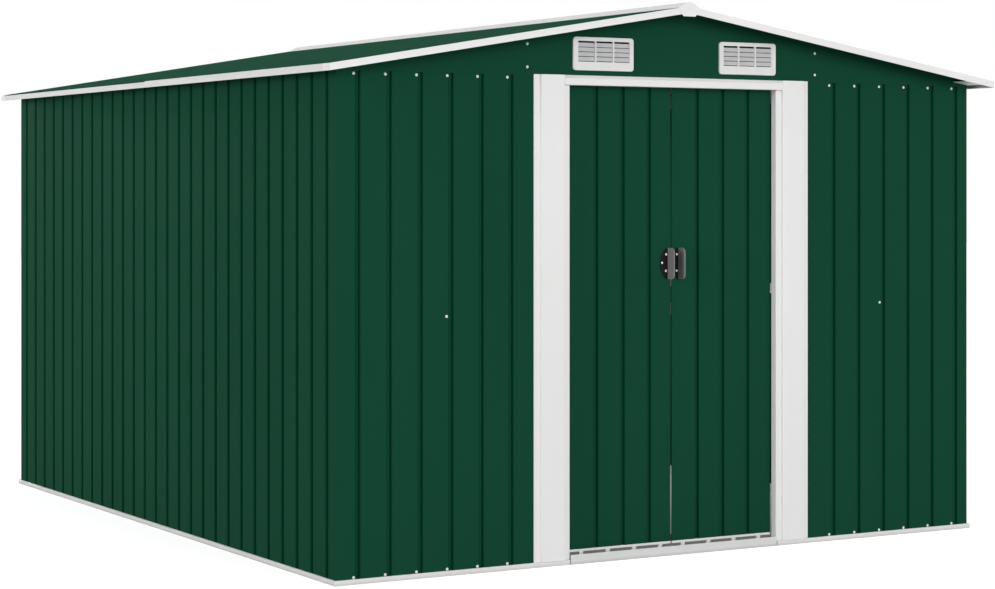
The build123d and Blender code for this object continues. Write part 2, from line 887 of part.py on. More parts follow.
pieces = {
    "base_rail_front": base_rail_front,
    "base_rail_rear": base_rail_rear,
    "base_rail_left": base_rail_left,
    "base_rail_right": base_rail_right,
    "door_sill": door_sill,
    "corner_panel_front_left": corner_panel_front_left,
    "corner_panel_front_right": corner_panel_front_right,
    "corner_panel_rear_left": corner_panel_rear_left,
    "corner_panel_rear_right": corner_panel_rear_right,
    "front_wall_left": front_wall_left,
    "front_wall_right": front_wall_right,
    "left_wall": left_wall,
    "right_wall": right_wall,
    "rear_wall": rear_wall,
    "front_gable": front_gable,
    "rear_gable": rear_gable,
    "front_vents": front_vents,
    "rear_vents": rear_vents,
    "top_rail_front": top_rail_front,
    "top_rail_rear": top_rail_rear,
    "top_rail_left": top_rail_left,
    "top_rail_right": top_rail_right,
    "wall_mid_rails": wall_mid_rails,
    "door_jamb_left": door_jamb_left,
    "door_jamb_right": door_jamb_right,
    "door_head": door_head,
    "upper_door_track": upper_door_track,
    "lower_door_track": lower_door_track,
    "left_door_panel": left_door_panel,
    "left_door_rails": left_door_rails,
    "left_door_handle": left_door_handle,
    "right_door_panel": right_door_panel,
    "right_door_rails": right_door_rails,
    "right_door_handle": right_door_handle,
    "ridge_beam": ridge_beam,
    "roof_purlins": roof_purlins,
    "roof_left": roof_left,
    "roof_right": roof_right,
    "ridge_cap": ridge_cap,
    "ridge_end_caps": ridge_end_caps,
    "eave_trim_left": eave_trim_left,
    "eave_trim_right": eave_trim_right,
    "gable_trims_front": gable_trims_front,
    "gable_trims_rear": gable_trims_rear,
    "eave_corner_caps": eave_corner_caps,
}
for name, piece in pieces.items():
    piece.part.label = name
    export_step(piece.part, f"parts/{name}.step")
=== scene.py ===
import json
import math

import bmesh
import bpy
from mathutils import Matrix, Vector


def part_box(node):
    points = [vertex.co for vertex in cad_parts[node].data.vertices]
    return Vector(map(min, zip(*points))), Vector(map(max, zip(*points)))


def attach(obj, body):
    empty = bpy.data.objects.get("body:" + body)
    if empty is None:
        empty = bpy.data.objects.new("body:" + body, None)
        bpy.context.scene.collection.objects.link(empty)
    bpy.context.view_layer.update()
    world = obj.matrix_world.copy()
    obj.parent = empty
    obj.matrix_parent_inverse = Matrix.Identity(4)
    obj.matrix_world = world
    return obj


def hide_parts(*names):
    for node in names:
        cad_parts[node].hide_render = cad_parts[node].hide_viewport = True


# Green metal storage shed with white trims, dressed round its solid model. Metres.

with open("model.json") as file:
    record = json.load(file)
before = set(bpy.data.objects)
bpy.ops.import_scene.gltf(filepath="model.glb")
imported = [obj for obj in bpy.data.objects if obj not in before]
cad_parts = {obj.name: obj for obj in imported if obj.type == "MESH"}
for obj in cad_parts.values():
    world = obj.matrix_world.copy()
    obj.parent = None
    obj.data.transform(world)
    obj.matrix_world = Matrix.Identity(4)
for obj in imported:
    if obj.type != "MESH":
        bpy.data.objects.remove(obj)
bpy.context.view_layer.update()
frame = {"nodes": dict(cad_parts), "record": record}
nodes = frame["nodes"]
slot_of = {row["node"]: row["material_slot"] for row in frame["record"]["subparts"]}
bodies = frame["record"]["behaviour"]["bodies"]
body_of = {node: body for body, members in bodies.items() for node in members}
front, rear, left, right, up = (0, -1, 0), (0, 1, 0), (-1, 0, 0), (1, 0, 0), (0, 0, 1)

# Camera
image_width = 995
image_height = 589
focal_pixels = 2392.83
centre_pixel = (470.164, 185.096)
camera_place = (-4.41096, -7.81182, 1.19609)
camera_turn = -0.51775  # radians about Z
sensor_width = 36.0  # millimetres

# Light
ambient_light = 0.40
sky_white = (1.0, 1.0, 1.0, 1.0)
suns = {  # direction that it shines in, strength, and spread in degrees
    "key_light": ((-0.10, 0.97, -0.20), 1.71, 40.0),
    "side_light": ((0.95, 0.15, -0.14), 1.49, 28.0),
    "right_light": ((-1.0, 0.0, -0.14), 1.25, 28.0),
    "rear_light": ((-0.02, -0.99, -0.14), 1.30, 12.0),
    "top_light": ((0.0, 0.0, -1.0), 0.33, 30.0),
}
inside_power = 20.0  # watts
inside_place = (0.55, 0.30, 0.9)
inside_radius = 0.25
floor_size = 60.0
floor_white = (0.62, 0.62, 0.62, 1.0)
floor_glow = 0.70
floor_glow_inside = 0.07

# Finishes
green_light = (0.0080, 0.0600, 0.0330, 1.0)
green_deep = (0.0072, 0.0555, 0.0305, 1.0)
# painted light: a lighter copy of the wall green for the light that falls on the roof
roof_lit_light = (0.0102, 0.0725, 0.0410, 1.0)
roof_lit_deep = (0.0094, 0.0680, 0.0382, 1.0)
# painted shade: deeper green for the flanks and floors of the grooves, where shade falls
groove_shade_light = (0.0022, 0.0410, 0.0185, 1.0)
groove_shade_deep = (0.0016, 0.0370, 0.0160, 1.0)
white_light = (0.79, 0.79, 0.785, 1.0)
white_soft = (0.755, 0.755, 0.75, 1.0)
# painted shade: the white trim paint made darker for the ridge cap, the eave trims and the sill
shaded_white_light = (0.71, 0.71, 0.705, 1.0)
shaded_white_soft = (0.68, 0.68, 0.675, 1.0)
vent_light = (0.73, 0.73, 0.725, 1.0)
vent_soft = (0.70, 0.70, 0.695, 1.0)
# painted shade: the slats are the vents' white plastic, greyed for the shade in the recess behind the
# frame
slat_shade_light = (0.54, 0.54, 0.55, 1.0)
slat_shade_soft = (0.50, 0.50, 0.51, 1.0)
zinc_light = (0.22, 0.225, 0.23, 1.0)
zinc_dark = (0.15, 0.155, 0.165, 1.0)
black_light = (0.0070, 0.0070, 0.0072, 1.0)
black_deep = (0.0050, 0.0050, 0.0052, 1.0)
# painted light: each handle's fin is the same black plastic as its plate, made lighter grey for the light
# and sheen on the fin
fin_lit_light = (0.22, 0.22, 0.222, 1.0)
fin_lit_deep = (0.20, 0.20, 0.202, 1.0)
# darker towards the foot of the base rails and the sill
foot_tone = (0.70, 0.69, 0.68, 1.0)
above_foot_tone = (0.95, 0.95, 0.95, 1.0)
foot_band_height = 0.011

# Folds
merge_distance = 1e-5
flat_angle = 0.5  # degrees under which two faces are one flat
smooth_angle = 35.0  # degrees over which an edge stays sharp
groove_fold = (40.0, 80.0)  # degrees that a sheet turns by at the lip of a groove
corner_fold = (80.0, 180.0)
any_fold = (10.0, 180.0)
same_way = 0.999  # cosine over which an edge runs along a direction
facing = 0.9  # cosine over which a face looks in a direction
groove_flank = (0.2, 0.9)  # cosines between which a face leans as the flank of a groove does
groove_lip = 0.0004  # what lies deeper than this is in a groove
sheet_fold_radius = 0.002
side_lip_radius = 0.004
corner_fold_radius = 0.003
trim_fold_radius = 0.0015
meeting_fold = 0.003  # depth of the doors' folds where they meet
rim_width = 0.003  # a face narrower than this is the edge of the sheet

# Screws
screw_sides = 20
screw_head_radius = 0.0045
screw_head_height = 0.0024
screw_crown = 0.7  # share of the head's rise that is rounded
screw_flange_height = 0.0008
screw_flange_width = 0.0008
screw_slot_width = 0.0011
screw_slot_length = 0.0050
screw_slot_depth = 0.0012
front_groove_pitch = 0.10686
front_screw_count = 6  # in a row on each side of the doorway
rear_screw_count = 22  # in a row
screw_from_left_groove = 0.014
screw_from_right_groove = 0.019
top_screw_drop = 0.009  # under the top of the wall sheets
base_rail_height = 0.016
foot_screw_rise = 0.005  # over the base rail
gable_screw_place = 0.562
gable_screw_heights = (1.565, 1.637)
middle_screws = ((0.378, 0.794), (2.0675, 0.7965))  # from the left corner, and height

# Handles
handle_arc_sides = 192
handle_arc_radius = 0.0645
handle_bulge = 0.033  # width of the plate at mid height
handle_foot_trim = 0.004
handle_plate_thickness = 0.003
fin_thickness = 0.003
fin_corner_radius = 0.014
handle_rim = 0.0007
handle_rim_angle = 50.0  # degrees over which an edge gets the rim
handle_screws = ((-0.007, 0.027), (-0.023, 0.0), (-0.008, -0.0265))  # from the fin's root
handle_screw_scale = 0.85
handle_screw_rise = 0.0045

# Vents
vent_width = 0.228
vent_corner_radius = 0.010
vent_rim = 0.0016
vent_field_shares = (0.07, 0.92)
vent_field_height_shares = (0.262, 0.882)
vent_mullion_shares = (0.338, 0.632)
vent_mullion = 0.005
vent_slat_count = 4
vent_top_slot = 0.0040
vent_foot_slot = 0.0022
vent_slat_height = 0.0132
vent_slat_depth = 0.0042
vent_slat_thickness = 0.0012
vent_slat_rounding = 0.3  # share of the slat's thickness


# Materials
def shader_of(name):
    """A new material with its node tree, shader and object coordinates."""
    material = bpy.data.materials.new(name)
    material.use_nodes = True
    tree = material.node_tree
    shader = tree.nodes["Principled BSDF"]
    place = tree.nodes.new("ShaderNodeTexCoord").outputs["Object"]
    return material, tree, shader, place


def noise(tree, place, scale, detail, stretch=(1, 1, 1)):
    """Cloudy pattern on the piece, drawn out along its axes by stretch."""
    mapping = tree.nodes.new("ShaderNodeMapping")
    mapping.inputs["Scale"].default_value = stretch
    tree.links.new(place, mapping.inputs["Vector"])
    texture = tree.nodes.new("ShaderNodeTexNoise")
    texture.inputs["Scale"].default_value = scale
    texture.inputs["Detail"].default_value = detail
    tree.links.new(mapping.outputs["Vector"], texture.inputs["Vector"])
    return texture.outputs["Fac"]


def colours(tree, value, low, high, start=0.3, end=0.7):
    """Colour that goes from low to high as value goes from start to end."""
    ramp = tree.nodes.new("ShaderNodeValToRGB")
    ramp.color_ramp.elements[0].position = start
    ramp.color_ramp.elements[0].color = low
    ramp.color_ramp.elements[1].position = end
    ramp.color_ramp.elements[1].color = high
    tree.links.new(value, ramp.inputs["Fac"])
    return ramp.outputs["Color"]


def levels(tree, value, low, high):
    """Number that goes from low to high with value."""
    spread = tree.nodes.new("ShaderNodeMapRange")
    spread.inputs["To Min"].default_value = low
    spread.inputs["To Max"].default_value = high
    tree.links.new(value, spread.inputs["Value"])
    return spread.outputs["Result"]


def relief(tree, shader, height, depth, strength):
    """Raise the surface by a pattern."""
    bump = tree.nodes.new("ShaderNodeBump")
    bump.inputs["Distance"].default_value = depth
    bump.inputs["Strength"].default_value = strength
    tree.links.new(height, bump.inputs["Height"])
    tree.links.new(bump.outputs["Normal"], shader.inputs["Normal"])


def heights(tree, place):
    """Height over the ground at each point of the piece."""
    axes = tree.nodes.new("ShaderNodeSeparateXYZ")
    tree.links.new(place, axes.inputs["Vector"])
    return axes.outputs["Z"]


def darkened_at_foot(tree, place, tone):
    """Tone of the paint, made darker towards the foot of a sheet."""
    foot_darkening = colours(tree, heights(tree, place), foot_tone, above_foot_tone, 0.0, foot_band_height)
    mix = tree.nodes.new("ShaderNodeMix")
    mix.data_type = "RGBA"
    mix.blend_type = "MULTIPLY"
    mix.inputs["Factor"].default_value = 1.0
    tree.links.new(tone, mix.inputs["A"])
    tree.links.new(foot_darkening, mix.inputs["B"])
    return mix.outputs["Result"]


def painted_sheet(name, low, high, roughness, gloss, darker_foot=False):
    """Baked paint on steel sheet: broad clouds of tone, faint rolling streaks and orange peel."""
    material, tree, shader, place = shader_of(name)
    shader.inputs["Specular IOR Level"].default_value = gloss
    clouds = noise(tree, place, scale=2.2, detail=4.0, stretch=(1, 1, 0.35))
    tone = colours(tree, clouds, low, high)
    if darker_foot:
        tone = darkened_at_foot(tree, place, tone)
    tree.links.new(tone, shader.inputs["Base Color"])
    patches = noise(tree, place, scale=14.0, detail=3.0)
    tree.links.new(levels(tree, patches, *roughness), shader.inputs["Roughness"])
    peel = noise(tree, place, scale=420.0, detail=2.0)
    relief(tree, shader, peel, depth=0.0004, strength=0.12)
    return material


def moulded_plastic(name, low, high, roughness, gloss):
    """Moulded plastic with a fine grain."""
    material, tree, shader, place = shader_of(name)
    shader.inputs["Specular IOR Level"].default_value = gloss
    clouds = noise(tree, place, scale=30.0, detail=3.0)
    tree.links.new(colours(tree, clouds, low, high), shader.inputs["Base Color"])
    patches = noise(tree, place, scale=90.0, detail=2.0)
    tree.links.new(levels(tree, patches, *roughness), shader.inputs["Roughness"])
    grain = noise(tree, place, scale=1600.0, detail=1.0)
    relief(tree, shader, grain, depth=0.0002, strength=0.2)
    return material


def zinc_coat(name, low, high, roughness):
    """Zinc coat on steel sheet, with its spangle of crystals."""
    material, tree, shader, place = shader_of(name)
    shader.inputs["Metallic"].default_value = 1.0
    spangle = tree.nodes.new("ShaderNodeTexVoronoi")
    spangle.inputs["Scale"].default_value = 95.0
    tree.links.new(place, spangle.inputs["Vector"])
    crystal = tree.nodes.new("ShaderNodeSeparateColor")
    tree.links.new(spangle.outputs["Color"], crystal.inputs["Color"])
    tone = colours(tree, crystal.outputs["Red"], low, high, 0.0, 1.0)
    tree.links.new(tone, shader.inputs["Base Color"])
    tree.links.new(levels(tree, crystal.outputs["Green"], *roughness), shader.inputs["Roughness"])
    grain = noise(tree, place, scale=260.0, detail=2.0)
    relief(tree, shader, grain, depth=0.0003, strength=0.1)
    return material


finishes = {
    "green_sheet": painted_sheet(
        "green_sheet_paint", green_deep, green_light, roughness=(0.46, 0.56), gloss=0.005,
    ),
    "white_trim": painted_sheet(
        "white_trim_paint", white_soft, white_light, roughness=(0.38, 0.48), gloss=0.3,
    ),
    "white_door_rail": painted_sheet(
        "white_rail_paint", white_soft, white_light, roughness=(0.40, 0.50), gloss=0.3,
    ),
    "white_vent": moulded_plastic(
        "white_vent_plastic", vent_soft, vent_light, roughness=(0.45, 0.55), gloss=0.3,
    ),
    "black_handle": moulded_plastic(
        "black_plate_plastic", black_deep, black_light, roughness=(0.38, 0.48), gloss=0.12,
    ),
    "galvanised_frame": zinc_coat("zinc_coated_frame", zinc_dark, zinc_light, roughness=(0.50, 0.65)),
}
# painted light on the roof sheets: a lighter copy of the wall green
roof_lit_finish = painted_sheet(
    "green_roof_painted_light", roof_lit_deep, roof_lit_light, roughness=(0.60, 0.70), gloss=0.001,
)
# painted shade in the grooves of the wall, door and roof sheets
groove_shade_finish = painted_sheet(
    "green_groove_painted_shade", groove_shade_deep, groove_shade_light, roughness=(0.50, 0.60), gloss=0.008,
)
# painted shade on the ridge cap and the eave trims, which have the same white paint as the other trims
cap_shade_finish = painted_sheet(
    "white_cap_painted_shade", shaded_white_soft, shaded_white_light, roughness=(0.42, 0.52), gloss=0.3,
)
# base rails darker towards the foot
rail_finish = painted_sheet(
    "white_rail_darker_at_foot", white_soft, white_light, roughness=(0.40, 0.50), gloss=0.3, darker_foot=True,
)
# painted shade on the sill, which is also darker towards its foot
sill_finish = painted_sheet(
    "white_sill_painted_shade_darker_at_foot", shaded_white_soft, shaded_white_light, roughness=(0.40, 0.50), gloss=0.3, darker_foot=True,
)
# painted shade on the vent slats, which are the vents' white plastic
slat_shade_finish = moulded_plastic(
    "vent_slat_painted_shade", slat_shade_soft, slat_shade_light, roughness=(0.50, 0.60), gloss=0.2,
)
# painted light and sheen on the handles' fins
fin_lit_finish = moulded_plastic(
    "handle_fin_painted_light", fin_lit_deep, fin_lit_light, roughness=(0.40, 0.50), gloss=0.3,
)
# the eave trims get the painted shade of the ridge cap
for node, piece in nodes.items():
    finish = cap_shade_finish if node.startswith("eave_trim") else finishes[slot_of[node]]
    piece.data.materials.clear()
    piece.data.materials.append(finish)


# Modelling
def pick(piece):
    """Make a piece the only one selected."""
    bpy.ops.object.select_all(action="DESELECT")
    piece.select_set(True)
    bpy.context.view_layer.objects.active = piece


def settle(piece):
    """Put a new piece's place, turn and size into its mesh."""
    pick(piece)
    bpy.ops.object.transform_apply(location=True, rotation=True, scale=True)


def new_box(centre, size, turn=(0, 0, 0)):
    """Box to model a piece from, or to cut one with."""
    bpy.ops.object.select_all(action="DESELECT")
    bpy.ops.mesh.primitive_cube_add(size=1, location=centre, rotation=turn, scale=size)
    box = bpy.context.object
    settle(box)
    return box


def new_disc(centre, radius, thickness, sides):
    """Disc that faces -Y, to model a piece from."""
    bpy.ops.object.select_all(action="DESELECT")
    bpy.ops.mesh.primitive_cylinder_add(
        vertices=sides, radius=radius, depth=thickness, location=centre, rotation=(math.pi / 2, 0, 0),
    )
    disc = bpy.context.object
    settle(disc)
    return disc


def set_down(name, data):
    """New object in the scene."""
    thing = bpy.data.objects.new(name, data)
    bpy.context.scene.collection.objects.link(thing)
    return thing


def copied(pattern, place, turn=0.0, scale=1.0):
    """Copy of a piece with its own mesh, turned about Z and set at a place."""
    copy = set_down(pattern.name, pattern.data.copy())
    copy.location = place
    copy.rotation_euler = (0, 0, turn)
    copy.scale = (scale, scale, scale)
    settle(copy)
    return copy


def joined(pieces):
    """Several pieces made one."""
    bpy.ops.object.select_all(action="DESELECT")
    for piece in pieces:
        piece.select_set(True)
    bpy.context.view_layer.objects.active = pieces[0]
    bpy.ops.object.join()
    return bpy.context.object


def begin_edit(piece):
    """Edit a piece, with all of it selected."""
    pick(piece)
    bpy.ops.object.mode_set(mode="EDIT")
    bpy.ops.mesh.select_all(action="SELECT")


def end_edit():
    """Leave edit mode."""
    bpy.ops.object.mode_set(mode="OBJECT")


def select_faces(test):
    """Select the faces of the edited piece whose middle and normal pass a test."""
    bpy.ops.mesh.select_mode(type="FACE")
    bpy.ops.mesh.select_all(action="DESELECT")
    mesh = bmesh.from_edit_mesh(bpy.context.edit_object.data)
    for face in mesh.faces:
        if test(face.calc_center_median(), face.normal):
            face.select_set(True)
    bmesh.update_edit_mesh(bpy.context.edit_object.data)


def select_edges(test):
    """Select the edges of the edited piece that pass a test."""
    bpy.ops.mesh.select_mode(type="EDGE")
    bpy.ops.mesh.select_all(action="DESELECT")
    mesh = bmesh.from_edit_mesh(bpy.context.edit_object.data)
    for edge in mesh.edges:
        if test(edge):
            edge.select_set(True)
    bmesh.update_edit_mesh(bpy.context.edit_object.data)


def on_plane(edge, axis, place):
    """True if an edge lies in a plane across an axis."""
    return all(abs(corner.co[axis] - place) < merge_distance for corner in edge.verts)


def length_along(edge, axis):
    """How far an edge runs along an axis."""
    return abs(edge.verts[1].co[axis] - edge.verts[0].co[axis])


def cut_through(point, normal, keep_both=False):
    """Cut the edited piece by a plane and, unless both sides stay, close it there."""
    bpy.ops.mesh.select_all(action="SELECT")
    bpy.ops.mesh.bisect(plane_co=point, plane_no=normal, use_fill=not keep_both, clear_outer=not keep_both)


def apply_modifier(piece, kind, **settings):
    """Add a modifier, set it and apply it."""
    pick(piece)
    modifier = piece.modifiers.new(kind.lower(), kind)
    for name, value in settings.items():
        setattr(modifier, name, value)
    bpy.ops.object.modifier_apply(modifier=modifier.name)


def cut_away(piece, centre, size):
    """Take a box out of a piece."""
    cutter = new_box(centre, size)
    apply_modifier(piece, "BOOLEAN", object=cutter, operation="DIFFERENCE", solver="EXACT")
    bpy.data.objects.remove(cutter)


def smooth(piece):
    """Smooth the rounded edges and keep the flats flat."""
    pick(piece)
    bpy.ops.object.shade_smooth_by_angle(angle=math.radians(smooth_angle))
    apply_modifier(piece, "WEIGHTED_NORMAL", weight=100, keep_sharp=True)


def dress(piece, name, slot, body, *stood_for):
    """Name a finished piece, give it its finish and let it move with its body."""
    piece.name = name
    piece.data.name = name
    if not piece.data.materials:
        piece.data.materials.append(finishes[slot])
    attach(piece, body)
    if stood_for:
        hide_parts(*stood_for)


# Folded sheets
def is_fold(edge, along, limits):
    """True for an edge along a direction where a sheet is folded by an angle between two limits."""
    least, most = limits
    if len(edge.link_faces) != 2 or not least < math.degrees(edge.calc_face_angle()) < most:
        return False
    run = edge.verts[1].co - edge.verts[0].co
    if abs(run.normalized().dot(along)) < same_way:
        return False
    return all(face.calc_area() / run.length > rim_width for face in edge.link_faces)


def round_lips(sheet, along, outward):
    """Round the lips of the grooves in one side of an edited sheet."""
    mesh = bmesh.from_edit_mesh(sheet.data)
    level = max(corner.co.dot(outward) for corner in mesh.verts)
    select_edges(
        lambda edge: is_fold(edge, along, groove_fold)
        and all(level - corner.co.dot(outward) < merge_distance for corner in edge.verts)
    )
    bpy.ops.mesh.bevel(offset=side_lip_radius, segments=4, affect="EDGES")


def shade_grooves(sheet, outward):
    """Paint shade on the flanks of the grooves, and on their floors in the left and right sides, with a
    deeper green.
    """
    flats = [face for face in sheet.data.polygons if face.normal.dot(outward) > facing]
    widest = max(flats, key=lambda face: face.area)
    normal = widest.normal.copy()
    level = widest.center.dot(normal)
    least, most = groove_flank
    for face in sheet.data.polygons:
        lean = face.normal.dot(normal)
        deep = level - face.center.dot(normal) > groove_lip
        if deep and lean > least and (lean < most or outward.x):
            face.material_index = 1


def rounded_folds(node, along, radius, sides=(), finish=None):
    """Sheet with its folds rounded as a press leaves them, and grooves in the sides that are named, with
    painted shade in those grooves.
    """
    direction = Vector(along).normalized()
    outward = [Vector(side) for side in sides]
    sheet = set_down(node, nodes[node].data.copy())
    sheet.data.materials.clear()
    begin_edit(sheet)
    bpy.ops.mesh.remove_doubles(threshold=merge_distance)
    bpy.ops.mesh.dissolve_limited(angle_limit=math.radians(flat_angle))
    for side in outward:
        if side.x:
            round_lips(sheet, direction, side)
    limits = groove_fold if sides else any_fold
    select_edges(lambda edge: is_fold(edge, direction, limits))
    bpy.ops.mesh.bevel(offset=radius, segments=3, affect="EDGES")
    end_edit()
    for side in outward:
        shade_grooves(sheet, side)
    if sides:
        begin_edit(sheet)
        select_edges(lambda edge: is_fold(edge, direction, corner_fold))
        bpy.ops.mesh.bevel(offset=corner_fold_radius, segments=4, affect="EDGES")
        end_edit()
        sheet.data.materials.append(finish or finishes[slot_of[node]])
        # second finish: painted shade in the grooves
        sheet.data.materials.append(groove_shade_finish)
    elif finish:
        sheet.data.materials.append(finish)
    smooth(sheet)
    dress(sheet, node + "_folded", slot_of[node], body_of[node], node)


def shorten_meeting_fold(side, inward):
    """Cut back a door's fold at the edge where the doors meet, so that the gap there is open."""
    panel = bpy.data.objects[side + "_door_panel_folded"]
    low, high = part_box(side + "_door_panel")
    edge = high.x if inward > 0 else low.x
    start = low.y + meeting_fold
    end = high.y + rim_width
    centre = (edge, (start + end) / 2, (low.z + high.z) / 2)
    cut_away(panel, centre, (rim_width, end - start, high.z - low.z + rim_width))
    smooth(panel)


grooved_sheets = {
    "corner_panel_front_left": (front, left),
    "corner_panel_front_right": (front, right),
    "corner_panel_rear_left": (rear, left),
    "corner_panel_rear_right": (rear, right),
    "front_wall_left": (front,),
    "front_wall_right": (front,),
    "left_wall": (left,),
    "right_wall": (right,),
    "rear_wall": (rear,),
    "left_door_panel": (front,),
    "right_door_panel": (front,),
}
folded_trims = {  # direction that the folds run in, and finish
    "door_jamb_left": (up, None),
    "door_jamb_right": (up, None),
    "door_head": (right, None),
    "ridge_cap": (rear, cap_shade_finish),
    "base_rail_front": (right, rail_finish),
    "base_rail_rear": (right, rail_finish),
    "door_sill": (right, sill_finish),
    "base_rail_left": (rear, rail_finish),
    "base_rail_right": (rear, rail_finish),
}
for node, sides in grooved_sheets.items():
    rounded_folds(node, up, sheet_fold_radius, sides)
shorten_meeting_fold("left", 1)
shorten_meeting_fold("right", -1)
for node, outer in (("roof_left", -1), ("roof_right", 1)):
    low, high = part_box(node)
    slope = (outer * (high.x - low.x), 0, low.z - high.z)
    rounded_folds(node, slope, sheet_fold_radius, (up,), roof_lit_finish)
for node, (along, finish) in folded_trims.items():
    rounded_folds(node, along, trim_fold_radius, finish=finish)


# Screws
def pan_head_screw():
    """Screw head with a flange and a cross slot, standing on a wall that faces -Y."""
    centre = (0, -screw_flange_height / 2, 0)
    screw = new_disc(centre, screw_head_radius, screw_flange_height, screw_sides)
    rise = screw_head_height - screw_flange_height
    begin_edit(screw)
    select_faces(lambda middle, normal: normal.y < -facing)
    bpy.ops.mesh.inset(thickness=screw_flange_width)
    bpy.ops.mesh.extrude_region_move(TRANSFORM_OT_translate={"value": (0, -rise, 0)})
    select_edges(lambda edge: on_plane(edge, 1, -screw_head_height))
    bpy.ops.mesh.bevel(offset=screw_crown * rise, segments=3, affect="EDGES")
    end_edit()
    for wide, high in ((screw_slot_length, screw_slot_width), (screw_slot_width, screw_slot_length)):
        cut_away(screw, (0, -screw_head_height, 0), (wide, 2 * screw_slot_depth, high))
    smooth(screw)
    return screw


def screw_set(name, body, places, turn=0.0, scale=1.0):
    """Screws at several places, as one piece."""
    heads = [copied(screw_pattern, place, turn, scale) for place in places]
    dress(joined(heads), name, "white_trim", body)


screw_pattern = pan_head_screw()
wall_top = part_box("front_wall_left")[1].z
front_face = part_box("front_gable")[0].y
rear_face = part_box("rear_gable")[1].y
left_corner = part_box("left_wall")[0].x
left_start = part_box("corner_panel_front_left")[1].x - screw_from_left_groove
right_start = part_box("corner_panel_front_right")[0].x - screw_from_right_groove
rear_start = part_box("corner_panel_rear_left")[1].x + screw_from_left_groove
screw_rows = (base_rail_height + foot_screw_rise, wall_top - top_screw_drop)
front_row = [left_start + i * front_groove_pitch for i in range(front_screw_count)]
front_row += [right_start - i * front_groove_pitch for i in range(front_screw_count)]
rear_row = [rear_start + i * front_groove_pitch for i in range(rear_screw_count)]
front_places = [(x, front_face, z) for x in front_row for z in screw_rows]
front_places += [(left_corner + x, front_face, z) for x, z in middle_screws]
rear_places = [(x, rear_face, z) for x in rear_row for z in screw_rows]
rear_places += [(-left_corner - x, rear_face, z) for x, z in middle_screws]
gable_spots = [(side * gable_screw_place, z) for side in (-1, 1) for z in gable_screw_heights]
front_gable_places = [(x, front_face, z) for x, z in gable_spots]
rear_gable_places = [(x, rear_face, z) for x, z in gable_spots]
screw_set("front_wall_screws", "shed", front_places)
screw_set("rear_wall_screws", "shed", rear_places, turn=math.pi)
screw_set("front_gable_screws", "shed", front_gable_places)
screw_set("rear_gable_screws", "shed", rear_gable_places, turn=math.pi)


# Handles
def door_handle(side):
    """Pull with a round-backed plate, a fin standing out of its right edge and three screws."""
    node = side + "_door_handle"
    low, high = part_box(node)
    screw_height = (low.z + high.z) / 2 + handle_screw_rise
    low.z += handle_foot_trim
    plate_front = high.y - handle_plate_thickness
    root = high.x - fin_thickness
    centre = (
        high.x - handle_bulge + handle_arc_radius,
        high.y - handle_plate_thickness / 2,
        (low.z + high.z) / 2,
    )
    handle = new_disc(centre, handle_arc_radius, handle_plate_thickness, handle_arc_sides)
    begin_edit(handle)
    cut_through((high.x, 0, 0), (1, 0, 0))
    cut_through((0, 0, high.z), (0, 0, 1))
    cut_through((0, 0, low.z), (0, 0, -1))
    cut_through((root, 0, 0), (1, 0, 0), keep_both=True)
    select_faces(lambda middle, normal: normal.y < -facing and middle.x > root)
    bpy.ops.mesh.extrude_region_move(TRANSFORM_OT_translate={"value": (0, low.y - plate_front, 0)})
    select_edges(
        lambda edge: on_plane(edge, 1, low.y) and (on_plane(edge, 2, low.z) or on_plane(edge, 2, high.z))
    )
    bpy.ops.mesh.bevel(offset=fin_corner_radius, segments=8, affect="EDGES")
    select_edges(
        lambda edge: edge.calc_face_angle(0) > math.radians(handle_rim_angle)
        and not on_plane(edge, 1, high.y)
    )
    bpy.ops.mesh.bevel(offset=handle_rim, segments=2, affect="EDGES")
    end_edit()
    smooth(handle)
    dress(handle, side + "_handle", "black_handle", side + "_door", node)
    # painted light: the fin's faces get the lighter grey
    handle.data.materials.append(fin_lit_finish)
    for face in handle.data.polygons:
        if face.center.y < plate_front - merge_distance:
            face.material_index = 1
    places = [(root + x, plate_front, screw_height + z) for x, z in handle_screws]
    screw_set(side + "_handle_screws", side + "_door", places, scale=handle_screw_scale)


door_handle("left")
door_handle("right")
bpy.data.objects.remove(screw_pattern)


# Vents
def vent_slats(start, end, field_low, field_high, face):
    """Louvre slats that shed the rain outwards, one under another."""
    pitch = (field_high - field_low - vent_top_slot - vent_foot_slot) / vent_slat_count
    length = math.hypot(vent_slat_height, vent_slat_depth)
    lean = math.atan2(vent_slat_depth, vent_slat_height)
    centre = (
        (start + end) / 2,
        face + vent_slat_depth / 2 + vent_slat_thickness,
        field_low + vent_foot_slot + vent_slat_height / 2,
    )
    size = (end - start + vent_slat_thickness, vent_slat_thickness, length)
    slats = new_box(centre, size, turn=(-lean, 0, 0))
    begin_edit(slats)
    select_edges(lambda edge: length_along(edge, 0) > vent_slat_height)
    bpy.ops.mesh.bevel(offset=vent_slat_rounding * vent_slat_thickness, segments=2, affect="EDGES")
    end_edit()
    apply_modifier(
        slats, "ARRAY", count=vent_slat_count, use_relative_offset=False, use_constant_offset=True,
        constant_offset_displace=(0, 0, pitch),
    )
    return slats


